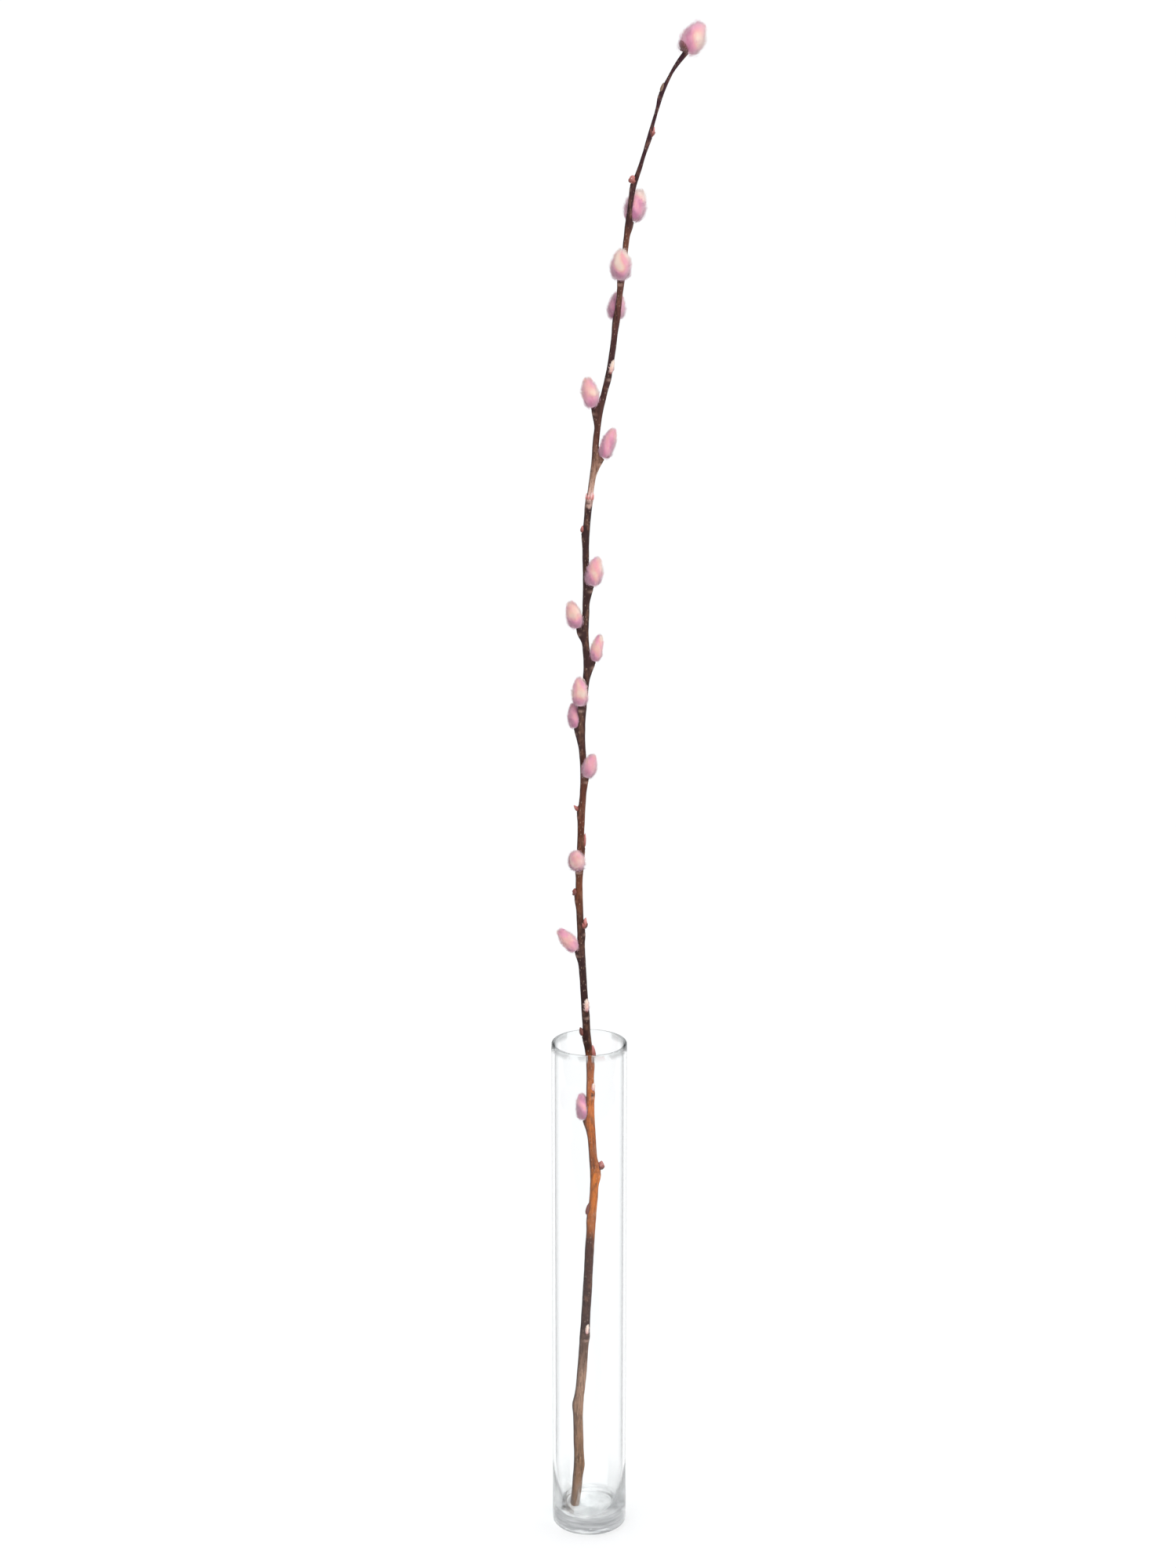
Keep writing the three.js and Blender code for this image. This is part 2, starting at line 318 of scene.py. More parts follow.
def bark_material(settings):
    """Bark: bands of colour by height with ragged edges, streaks along the stem, pale lenticels,
    dark scars, painted shade that darkens its left side, and fine wrinkles."""
    graph = Graph("willow_bark")
    place = graph.point()
    apart = graph.node("ShaderNodeSeparateXYZ", {}, {0: place}, "Z")
    ragged = graph.noise(graph.stretched(place, (1, 1, 0.35)), 420, 4) - 0.5
    height = apart + ragged * settings.band_edge
    base = graph.ramp(height, BARK_BANDS)
    streak = graph.noise(graph.stretched(place, (1, 1, 0.12)), 900, 4, 0.6)
    blotch = graph.noise(graph.stretched(place, (1, 1, 0.5)), 190, 3)
    base = graph.mix(streak.between(0.40, 0.70) * 0.65, base, srgb(40, 26, 24))
    base = graph.mix(blotch.between(0.5, 0.72) * 0.30, base, srgb(160, 116, 92))
    grain = graph.noise(graph.stretched(place, (1, 1, 0.45)), 1100, 3, 0.6)
    base = graph.mix(grain.between(0.52, 0.72) * 0.5, base, srgb(34, 20, 18))
    fleck = graph.node("ShaderNodeTexVoronoi", {"feature": "F1"},
                       {"Vector": graph.stretched(place, (1, 1, 0.5)), "Scale": 620.0})
    speck = 1 - fleck.between(0.10, 0.24)
    base = graph.mix(speck * settings.flecks, base, srgb(196, 170, 150))
    # Painted shade: the bark's left side, by bearing round the stem, is painted darker, with
    # blotchy edges
    shade = graph.attribute("shade") + (blotch - 0.5) * 0.8
    base = graph.mix(shade.between(0.1, 0.95) * settings.shade, base, tuple(settings.painted_shade_colour))
    base = graph.mix(graph.attribute("lenticel") * 0.45, base, srgb(176, 142, 116))
    base = graph.mix(graph.attribute("scar") * 0.85, base, srgb(58, 38, 34))
    base = graph.mix(graph.attribute("pale"), base, srgb(214, 176, 160))
    base = graph.mix(graph.attribute("wood"), base, srgb(104, 76, 58))
    wrinkle = graph.noise(graph.stretched(place, (1, 1, 0.2)), 1500, 5, 0.6)
    shader = graph.node("ShaderNodeBsdfPrincipled", {}, {
        "Base Color": base,
        "Roughness": 0.38 + streak * 0.35,
        "Specular IOR Level": 0.12,
        "Normal": graph.bump(wrinkle + speck * 0.4, 0.00025, 0.8),
    })
    return graph.surface(shader)


FUR_TONES = [
    (0.00, srgb(174, 84, 136)), (0.20, srgb(216, 120, 168)), (0.42, srgb(243, 162, 194)),
    (0.60, srgb(243, 168, 172)), (0.80, srgb(250, 210, 188)), (1.00, srgb(252, 236, 214)),
]


def fur_material(settings):
    """Fur: each hair runs from its tone at the root to a pale silky tip, the coat is painted paler
    where it is seen edge on as a painted sheen, and most of a lamp's light passes through to the
    hairs behind."""
    graph = Graph("catkin_fur")
    tone = graph.attribute("tone")
    reach = graph.attribute("reach")
    pale = tuple(settings.tip_colour)
    colour = graph.mix(reach ** 1.5 * settings.paleness, graph.ramp(tone, FUR_TONES), pale)
    # Painted sheen: the coat's colour is mixed towards the pale tip colour where it is seen edge on
    facing = graph.node("ShaderNodeLayerWeight", {}, {"Blend": 0.5}, "Facing")
    colour = graph.mix(facing.between(0.05, 0.75) * settings.rim, colour, pale)
    hair = graph.node("ShaderNodeBsdfPrincipled", {}, {
        "Base Color": colour,
        "Roughness": 0.55,
        "Specular IOR Level": 0.3,
        "Sheen Weight": 0.15,
        "Sheen Roughness": 0.35,
    })
    through = graph.node("ShaderNodeBsdfTranslucent", {}, {"Color": (*settings.through_colour, 1)})
    coat = graph.node("ShaderNodeMixShader", {}, {0: settings.through, 1: hair, 2: through})
    clear = graph.node("ShaderNodeBsdfTransparent", {}, {"Color": (1, 1, 1, 1)})
    shadow = graph.node("ShaderNodeLightPath", output="Is Shadow Ray")
    share = shadow * settings.glow
    return graph.surface(graph.node("ShaderNodeMixShader", {}, {0: share, 1: coat, 2: clear}))


BUD_TONES = [
    (0.0, srgb(126, 100, 82)), (0.2, srgb(74, 46, 42)), (0.5, srgb(122, 58, 48)),
    (0.8, srgb(200, 124, 120)), (1.0, srgb(240, 198, 196)),
]


def bud_material():
    """Bud scales: smooth and a little glossy, red brown to pink by tone, darker in streaks."""
    graph = Graph("bud_scale")
    place = graph.point()
    grain = graph.noise(graph.stretched(place, (1, 1, 0.3)), 1400, 3)
    colour = graph.ramp(graph.attribute("tone") + (grain - 0.5) * 0.25, BUD_TONES)
    colour = graph.mix(grain.between(0.5, 0.8) * 0.4, colour, srgb(52, 32, 30))
    shader = graph.node("ShaderNodeBsdfPrincipled", {}, {
        "Base Color": colour,
        "Roughness": 0.3 + grain * 0.25,
        "Specular IOR Level": 0.5,
        "Normal": graph.bump(grain, 0.0002, 0.5),
    })
    return graph.surface(shader)


def glass_material(settings):
    """Clear glass that lets lamps through to what stands in it. Its walls are painted grey where
    they are seen edge on, with a darker painted line where the bore ends, as painted refraction of
    dark surroundings;
    its rim is pale, and its thick foot is wavy like cast glass, with grey streaks of painted
    refraction."""
    graph = Graph("vase_glass")
    place = graph.point()
    height = graph.node("ShaderNodeSeparateXYZ", {}, {0: place}, "Z")
    flat = graph.node("ShaderNodeVectorMath", {"operation": "MULTIPLY"}, {0: place, 1: (1, 1, 0)})
    radius = graph.node("ShaderNodeVectorMath", {"operation": "LENGTH"}, {0: flat}, "Value")
    outer = radius.between(VASE_INNER + 0.0004, VASE_RADIUS - 0.0004)
    base = 1 - height.between(VASE_FLOOR, VASE_FLOOR + 0.006)
    foot = base * (1 - (1 - outer) * height.between(0.001, 0.003))
    rim = height.between(VASE_HEIGHT - 0.006, VASE_HEIGHT - 0.001)
    facing = graph.node("ShaderNodeLayerWeight", {}, {"Blend": 0.5}, "Facing")
    # Painted refraction: the walls are painted grey to black where they are seen edge on, standing
    # in for dark surroundings seen through the glass
    inside = facing.between(settings.painted_edge_start, 0.95) * (1 - outer)
    outside = facing.between(0.82, 0.98) * outer
    edge = (inside + outside * 0.7) * (1 - rim) * (0.45 + 0.55 * height.between(0.025, 0.055))
    streak = graph.noise(graph.stretched(place, (1, 1, 7)), 55, 4, 0.6).between(0.38, 0.66)
    tint_and_painted_grey = graph.mix(edge, tuple(settings.glass_colour), tuple(settings.painted_edge_colour))
    # Painted refraction: grey streaks painted into the thick foot stand in for dark surroundings
    # seen through it; its waviness below is real relief
    tint_and_painted_grey = graph.mix(foot * (0.2 + streak * 0.8), tint_and_painted_grey, tuple(settings.painted_foot_colour))
    wave = graph.noise(graph.stretched(place, (1, 1, 5)), 60, 2)
    glass = graph.node("ShaderNodeBsdfPrincipled", {}, {
        "Base Color": tint_and_painted_grey,
        "Roughness": 0.0,
        "IOR": 1.5,
        "Specular Tint": (0.4, 0.4, 0.4, 1),
        "Transmission Weight": 1.0,
        "Normal": graph.bump(wave * foot, 0.001, 0.35),
    })
    # Painted refraction: a dark line painted along the inner wall where it is seen edge on
    line = facing.between(0.80, 0.96) * (1 - outer) * (1 - rim) * height.between(0.025, 0.055)
    painted_dark_line = graph.node("ShaderNodeBsdfTransparent", {}, {"Color": (*settings.painted_line_colour, 1)})
    glass = graph.node("ShaderNodeMixShader", {}, {0: line * settings.line, 1: glass, 2: painted_dark_line})
    clear = graph.node("ShaderNodeBsdfTransparent", {}, {"Color": (0.96, 0.97, 0.97, 1)})
    shadow = graph.node("ShaderNodeLightPath", output="Is Shadow Ray")
    bowl = (1 - height.between(0.012, 0.050)) * (1 - base)
    soften = rim * settings.rim_clear + bowl * settings.bowl_clear
    share = shadow + (1 - shadow) * soften
    return graph.surface(graph.node("ShaderNodeMixShader", {}, {0: share, 1: glass, 2: clear}))


# ---------------------------------------------------------------- the stem

STEM_CORNERS = 9  # corners of each ring of the CAD stem


def stem_rings(sides):
    """The CAD stem's own rings: their centres, and their radii at even bearings. Each ring's
    corners are found by height, and the middles of the end caps are left out."""
    points = node_points("stem")
    points = points[points[:, 2].argsort()]
    for end in (slice(0, STEM_CORNERS + 1), slice(-STEM_CORNERS - 1, None)):
        ring = points[end]
        middle = np.linalg.norm(ring - ring.mean(0), axis=1).argmin()
        points = np.delete(points, range(len(points))[end][middle], axis=0)
    rings = points.reshape(-1, STEM_CORNERS, 3)
    centres = rings.mean(1)
    along = unit(np.gradient(centres, axis=0))
    right = unit(np.cross([0.0, 1.0, 0.0], along))
    back = np.cross(along, right)
    even = np.arange(sides) / sides * 2 * np.pi
    radii = np.empty((len(rings), sides))
    for ring in range(len(rings)):
        spoke = rings[ring] - centres[ring]
        bearing = np.arctan2(spoke @ back[ring], spoke @ right[ring])
        radii[ring] = np.interp(even, bearing, np.linalg.norm(spoke, axis=1), period=2 * np.pi)
    return centres, radii


def smooth_along(values, where):
    """Values between samples by cubic curves whose slope at a sample is that of its neighbours."""
    low = np.clip(where.astype(int), 0, len(values) - 2)
    shape = (-1,) + (1,) * (values.ndim - 1)
    t = (where - low).reshape(shape)
    slope = np.gradient(values, axis=0)
    return ((2 * t**3 - 3 * t**2 + 1) * values[low] + (t**3 - 2 * t**2 + t) * slope[low]
            + (3 * t**2 - 2 * t**3) * values[low + 1] + (t**3 - t**2) * slope[low + 1])


class Stem:
    """The stem's fine centreline and radii, for the bark and for what grows on it."""

    def __init__(self, rows, sides):
        centres, radii = stem_rings(sides)
        where = np.linspace(0, len(centres) - 1, rows)
        self.centre = smooth_along(centres, where)
        self.radius = smooth_along(radii, where)
        self.along = unit(np.gradient(self.centre, axis=0))
        self.right = unit(np.cross([0.0, 1.0, 0.0], self.along))
        self.back = np.cross(self.along, self.right)
        step = np.linalg.norm(np.diff(self.centre, axis=0), axis=1)
        self.run = np.concatenate([[0], step.cumsum()])
        self.turn = np.arange(sides) / sides * 2 * np.pi

    def spot(self, point):
        """The run along the stem and the bearing round it of the place nearest to a point."""
        row = np.linalg.norm(self.centre - point, axis=1).argmin()
        spoke = point - self.centre[row]
        return self.run[row], math.atan2(spoke @ self.back[row], spoke @ self.right[row]), row


def angle_between(one, other):
    """The smaller angle between two bearings."""
    return np.abs((one - other + np.pi) % (2 * np.pi) - np.pi)


# The bark's share of the CAD stem's radius, by height in metres: between the cushions it is
# slimmer, and last year's growth ends in a ring out of which a thinner shoot grows
SLIM_HEIGHTS = (0.12, 0.40, 0.52, 0.690, 0.704, 0.7060, 0.7068, 0.740, 0.90, 0.93, 0.974, 0.985)
SLIM_SHARES = (1.0, 0.90, 0.92, 0.97, 1.04, 1.08, 0.88, 0.92, 0.92, 0.80, 0.86, 1.6)


LEDGE_BELOW = 6.0 * MM  # how far a ledge fades down the stem, and up it
LEDGE_ABOVE = 0.8 * MM


def stem_surface(stem, settings):
    """Bark surface: the CAD's radius, plus wrinkles that run along the stem, a ledge that rises
    slowly from below and drops at once above under every bud and every catkin but the top one, and
    raised lenticels."""
    draw = np.random.default_rng(5)
    run, turn = stem.run[:, None], stem.turn[None, :]
    rise = settings.wrinkle * ripple(draw, run * 260, turn, 9, 1.0, 7)
    rise = rise + settings.wrinkle * 0.6 * ripple(draw, run * 900, turn, 9, 1.0, 10)
    scar = np.zeros(rise.shape)
    pale = np.zeros(rise.shape)
    for name in CATKINS[:-1] + BUDS:
        foot = egg_of(name)[0]
        at, bearing, row = stem.spot(foot)
        big = name in CATKINS
        gap = np.linalg.norm(foot - stem.centre[row]) - np.interp(
            bearing % (2 * np.pi), stem.turn, stem.radius[row], period=2 * np.pi)
        off = run - at + settings.ledge_drop
        side = np.exp(-(angle_between(turn, bearing) / 0.65) ** 2)
        swell = np.exp(-(np.abs(off) / LEDGE_BELOW) ** 1.2)
        shape = np.where(off < 0, swell, np.exp(-(off / LEDGE_ABOVE) ** 2))
        rise = rise + (settings.ledge + (max(gap, 0) + 0.0008) * big) * side * shape
        narrow = np.exp(-(angle_between(turn, bearing) / 0.62) ** 4)
        cut = np.exp(-((off + 0.0012) / 0.0008) ** 2)
        scar = np.maximum(scar, narrow * cut)
        rise = rise - 0.00018 * narrow * cut
        ring = np.exp(-((off - 0.0003) / 0.0004) ** 2)
        scar = np.maximum(scar, 0.55 * ring * (0.4 + 0.6 * side))
        pale = np.maximum(pale, 0.35 * side * np.exp(-((off + 0.003) / 0.0009) ** 2))
    lenticel = np.zeros(rise.shape)
    for _ in range(settings.lenticels):
        at, bearing = draw.uniform(0, stem.run[-1]), draw.uniform(0, 2 * np.pi)
        tall, wide = draw.uniform(0.0005, 0.0011), draw.uniform(0.10, 0.2)
        near = np.abs(stem.run - at) < 3 * tall
        spot = np.exp(-((run[near] - at) / tall) ** 2 - (angle_between(turn, bearing) / wide) ** 2)
        lenticel[near] = np.maximum(lenticel[near], spot * draw.uniform(0.1, 0.6))
    rise = rise + 0.00010 * lenticel
    slim = np.interp(stem.centre[:, 2], SLIM_HEIGHTS, SLIM_SHARES)[:, None]
    radius = stem.radius * slim + rise
    spoke = (np.cos(turn)[..., None] * stem.right[:, None]
             + np.sin(turn)[..., None] * stem.back[:, None])
    # Painted shade: a mark that is 1 on the stem's left side and 0 on its right, which the bark
    # reads as painted shade
    shade = np.clip(-np.cos(turn + 0.35), 0, 1) + 0 * rise
    return stem.centre[:, None] + radius[..., None] * spoke, scar, pale, lenticel, shade


def stem_piece(settings):
    """The bark: its rings, then at each end three rings that shrink to a nearly flat cut."""
    stem = Stem(settings.rows, settings.sides)
    grid, scar, pale, lenticel, shade = stem_surface(stem, settings)
    inset = np.array([1.0, 0.93, 0.6])
    ends = []
    for row, direction in ((0, -1), (-1, 1)):
        rim = grid[row] - stem.centre[row]
        rings = [stem.centre[row] + rim * share + direction * stem.along[row] * lift
                 for share, lift in zip(inset, (0.00012, 0.00022, 0.00020))]
        ends.append(np.array(rings if direction > 0 else rings[::-1]))
    full = np.concatenate([ends[0], grid, ends[1]])
    low = full[0].mean(0) + stem.along[0] * 0.00025
    high = full[-1].mean(0)
    points, faces = closed_surface(full, low, high)
    rings = len(inset)

    def spread(values, end):
        pad = np.full((rings, settings.sides), end)
        return np.concatenate([np.concatenate([pad, values, pad]).ravel(), [end, end]])

    # The shade attribute carries the painted shade of the bark's left side
    attributes = {"scar": spread(scar, 0.0), "pale": spread(pale, 0.0),
                  "lenticel": spread(lenticel, 0.0), "shade": spread(shade, 0.0),
                  "wood": spread(scar * 0, 1.0)}
    piece = make_piece("willow_stem", points, faces, attributes, bark_material(settings))
    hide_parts("stem")
    return stem


# ---------------------------------------------------------------- catkins

def egg_radius(share):
    """An egg's radius, for a width of 1, at a share of its length: sine of the turn from foot to
    tip, to a power under 1 that fills out its foot, narrowed towards the tip."""
    share = np.clip(share, 0, 1)
    return 0.5 * (2 * np.sqrt(share * (1 - share))) ** (0.58 + 0.4 * share) * (1.04 - 0.22 * share)


class Egg:
    """An egg's own directions, and points on it or off it."""

    def __init__(self, foot, axis, length, width):
        self.foot, self.axis, self.length, self.width = foot, axis, length, width
        self.first, self.second = across(axis)

    def out(self, turn):
        """Directions straight away from the axis, at bearings round it."""
        return np.cos(turn)[:, None] * self.first + np.sin(turn)[:, None] * self.second

    def at(self, share, turn, grow):
        """Points at a share of the length and a bearing, with the radius grown by a factor."""
        radius = egg_radius(share) * self.width * grow
        along = (share * self.length)[:, None] * self.axis
        return self.foot + along + radius[:, None] * self.out(turn)

    def outward(self, share, turn):
        """The direction straight out of the egg's surface."""
        nudge = 0.01
        low, high = self.at(share - nudge, turn, 1.0), self.at(share + nudge, turn, 1.0)
        around = np.cross(self.axis, self.out(turn))
        return unit(np.cross(around, high - low))


def hair_mesh(root, middle, tip, thick):
    """Hairs as closed three-sided spikes: a ring at the root, a ring at the middle and a point."""
    along = unit(tip - root)
    helper = np.where(np.abs(along[:, 2:]) < 0.9, [[0.0, 0.0, 1.0]], [[1.0, 0.0, 0.0]])
    one = unit(np.cross(along, helper))
    other = np.cross(along, one)
    turn = np.arange(3) / 3 * 2 * np.pi
    spoke = np.cos(turn)[:, None] * one[:, None] + np.sin(turn)[:, None] * other[:, None]
    low = root[:, None] + spoke * thick[:, None, None]
    half = middle[:, None] + spoke * thick[:, None, None] * 0.8
    points = np.concatenate([low, half, tip[:, None]], 1)
    own = np.concatenate([spoke, spoke, along[:, None]], 1)
    sides = ring_faces(2, 3)
    point = np.array([[3, 4, 6], [4, 5, 6], [5, 3, 6]])
    under = np.array([[2, 1, 0]])
    start = (np.arange(len(root)) * HAIR_POINTS)[:, None, None]
    faces = [(sides + start).reshape(-1, 4), (point + start).reshape(-1, 3),
             (under + start).reshape(-1, 3)]
    return points.reshape(-1, 3), faces, own.reshape(-1, 3)


SOFT = 0.45  # how far fur is lit as the smooth egg that it covers
GOLDEN_ANGLE = 2.39996
HAIR_POINTS = 7


def fur_coat(draw, egg, tufts, hairs, thick, tone_at):
    """Fur in tufts: the tufts' roots follow a spiral of golden angles from foot to tip on an inner
    egg, and the hairs of a tuft draw together to one end that lies on the outer egg, further up."""
    order = (np.arange(tufts) + 0.5) / tufts
    share = 0.02 + 0.93 * order ** 0.94
    turn = np.arange(tufts) * GOLDEN_ANGLE + draw.normal(0, 0.07, tufts)
    rise = draw.uniform(0.13, 0.21, tufts) * (1 - 0.45 * share)
    grow = draw.uniform(0.92, 1.08, tufts) + 0.09 * ripple(draw, share * 14, turn, 5, 1.0, 3)
    root = egg.at(share, turn, 0.58)
    stop = egg.at(np.minimum(share + rise, 0.995), turn + draw.normal(0, 0.06, tufts), grow)
    stop = stop + egg.axis * np.maximum(share + rise - 0.97, 0)[:, None] * egg.length
    pick = np.repeat(np.arange(tufts), hairs)
    count = len(pick)
    jitter = draw.normal(0, 1, (count, 3)) * egg.width * 0.07
    start = root[pick] + jitter
    away = egg.outward(share, turn)[pick]
    reach = draw.uniform(0.72, 1.10, count)[:, None]
    wild = np.where(draw.random(count) < 0.05, 2.0, 1.0)[:, None]
    end = stop[pick] + jitter * 0.5 + draw.normal(0, 1, (count, 3)) * egg.width * 0.015 * wild
    end = start + (end - start) * reach
    bow = np.linalg.norm(end - start, axis=1)[:, None] * 0.12
    middle = start + (end - start) * 0.5 + away * bow
    points, faces, own = hair_mesh(start, middle, end, thick * draw.uniform(0.7, 1.2, count))
    normals = unit(np.repeat(away, HAIR_POINTS, 0) * SOFT + own * (1 - SOFT))
    tuft_tone = draw.normal(0, 0.12, tufts)[pick]
    tone = tone_at(share[pick], turn[pick]) + tuft_tone + draw.normal(0, 0.04, count)
    grade = np.array([0, 0, 0, 0.45, 0.45, 0.45, 1.0])
    return points, faces, {"tone": np.repeat(np.clip(tone, 0, 1), HAIR_POINTS),
                           "reach": np.tile(grade, count), "normal": normals}


def egg_body(egg, grow, rows, sides, tone_at, reach, lump=0.0, draw=None):
    """A closed egg surface at a factor of the egg's width, with lumps in a spiral lattice."""
    share = (1 - np.cos(np.linspace(0, np.pi, rows + 2)[1:-1])) / 2
    turn = np.arange(sides) / sides * 2 * np.pi
    grid_share, grid_turn = (part.ravel() for part in np.meshgrid(share, turn, indexing="ij"))
    factor = np.full(len(grid_share), grow)
    if lump:
        factor = factor + lump * ripple(draw, grid_share * 30, grid_turn, 8, 1.0, 9)
    grid = egg.at(grid_share, grid_turn, factor).reshape(rows, sides, 3)
    low = egg.foot + egg.axis * egg.length * 0.004
    high = egg.foot + egg.axis * egg.length * 0.99
    points, faces = closed_surface(grid, low, high)
    ends = np.array([0.0, 1.0])
    tone = tone_at(np.concatenate([grid_share, ends]), np.concatenate([grid_turn, ends * 0]))
    normals = np.concatenate([egg.outward(grid_share, grid_turn), [-egg.axis, egg.axis]])
    return points, faces, {"tone": np.clip(tone, 0, 1), "reach": np.full(len(points), reach),
                           "normal": normals}


CATKIN_REACH = 0.97  # the coat's share of the CAD catkin's length
TOP_CATKIN_REACH = 0.88

# Tone of each catkin at its foot, at its middle and at its tip, how much its left side is painted
# darker and cooler as painted shade, and how plump its fur is
CATKIN_LOOKS = [
    (0.05, 0.15, 0.30, 0.15, 1.05), (0.35, 0.58, 0.45, 0.05, 1.02), (0.30, 0.42, 0.58, 0.02, 1.0),
    (0.12, 0.44, 0.36, 0.15, 1.05), (0.10, 0.28, 0.45, 0.10, 1.05), (0.10, 0.84, 0.60, 0.15, 1.04),
    (0.15, 0.72, 0.72, 0.10, 1.04), (0.15, 0.84, 0.66, 0.15, 1.04), (0.10, 0.80, 0.46, 0.20, 1.03),
    (0.05, 0.36, 0.52, 0.12, 1.05), (0.15, 0.74, 0.62, 0.10, 1.04), (0.05, 0.24, 0.45, 0.25, 1.0),
    (-0.40, 0.80, 1.00, 0.10, 1.02), (-0.20, 0.32, 1.25, 0.10, 1.0), (0.10, 0.72, 0.50, 0.60, 1.24),
]


def tone_pattern(egg, look, blotch=0.0, seed=0):
    """Tone by share of the length, through foot, middle and tip, painted darker and cooler towards
    the left side as painted shade, with a few broad blotches."""
    foot, middle, tip, painted_left_shade = look[:4]

    def tone_at(share, turn):
        draw = np.random.default_rng(seed)
        left = np.clip(-egg.out(turn)[:, 0], -0.3, 1)
        patch = blotch * ripple(draw, share * 12, turn, 5, 1.0, 3)
        tone = np.interp(share, [0.0, 0.12, 0.5, 1.0], [foot, foot, middle, tip])
        # Painted shade: the left side's tone is lowered towards the dark mauve end of the fur's
        # colours
        return tone - painted_left_shade * left + patch

    return tone_at


def catkin_piece(name, look, settings, material):
    """One catkin: a lumpy core that is only seen between the hairs, and its coat of fur."""
    draw = np.random.default_rng(100 + CATKINS.index(name))
    foot, axis, length, width = egg_of(name)
    reach = TOP_CATKIN_REACH if name == CATKINS[-1] else CATKIN_REACH
    egg = Egg(foot, axis, length * reach, width * look[4])
    tone_at = tone_pattern(egg, look, 0.22, CATKINS.index(name))
    coat = fur_coat(draw, egg, settings.tufts, settings.hairs, settings.thickness / 2, tone_at)
    core = egg_body(egg, 0.80, 22, 28, tone_at, 0.3, 0.03, draw)
    points, faces, attributes = joined([core, coat])
    normals = attributes.pop("normal")
    piece = make_piece("fur_" + name, points, faces, attributes, material, normals)
    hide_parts(name)
    return piece


# ---------------------------------------------------------------- buds

# Each bud's make, and its tone from green brown through red brown to pink
BUD_LOOKS = [
    ("silk", 0.90), ("smooth", 0.55), ("stub", 0.70), ("silk", 0.80), ("smooth", 0.60),
    ("smooth", 0.54), ("silk", 0.85), ("rough", 0.66), ("stub", 0.60), ("smooth", 0.62),
    ("forked", 0.58), ("smooth", 0.58), ("collar", 0.95), ("silk", 0.90), ("stub", 0.80),
    ("rough", 0.66), ("smooth", 0.10),
]


def scale_body(egg, draw, rough, rows=18, sides=20):
    """A closed bud scale: an egg drawn out to a point, with bumps as rough as asked."""
    share = (1 - np.cos(np.linspace(0, np.pi, rows + 2)[1:-1])) / 2
    turn = np.arange(sides) / sides * 2 * np.pi
    grid_share, grid_turn = (part.ravel() for part in np.meshgrid(share, turn, indexing="ij"))
    bumps = ripple(draw, grid_share * 14, grid_turn, 7, 1.0, 5)
    factor = (1 - 0.45 * grid_share ** 2) * (1 + rough * bumps)
    grid = egg.at(grid_share, grid_turn, factor).reshape(rows, sides, 3)
    points, faces = closed_surface(grid, egg.foot, egg.foot + egg.axis * egg.length * 1.02)
    return points, faces, np.concatenate([grid_share, [0.0, 1.0]])


def leaned(egg, lean, scale):
    """A smaller egg on the same foot, turned a little across its axis."""
    axis = unit(egg.axis + lean)
    return Egg(egg.foot, axis, egg.length * scale, egg.width * scale)


COLLAR_SCALES = 9


def collar_scales(stem, row, draw):
    """Small scales that stand round the ring where last year's growth ends, each an egg whose foot
    lies on the bark at an even bearing and that leans out a little."""
    scales = []
    count = COLLAR_SCALES
    for turn in np.arange(count) / count * 2 * np.pi + draw.normal(0, 0.12, count):
        spoke = math.cos(turn) * stem.right[row] + math.sin(turn) * stem.back[row]
        foot = stem.centre[row] + spoke * stem.radius[row].mean() * 0.86
        axis = unit(stem.along[row] + spoke * draw.uniform(-0.02, 0.24))
        scale = Egg(foot, axis, draw.uniform(3.6, 7.0) * MM, 1.6 * MM)
        scales.append((scale, 0.16, draw.uniform(0, 0.3)))
    return scales


BUD_SINK = 0.95 * MM  # how far a bud's foot is moved into the bark


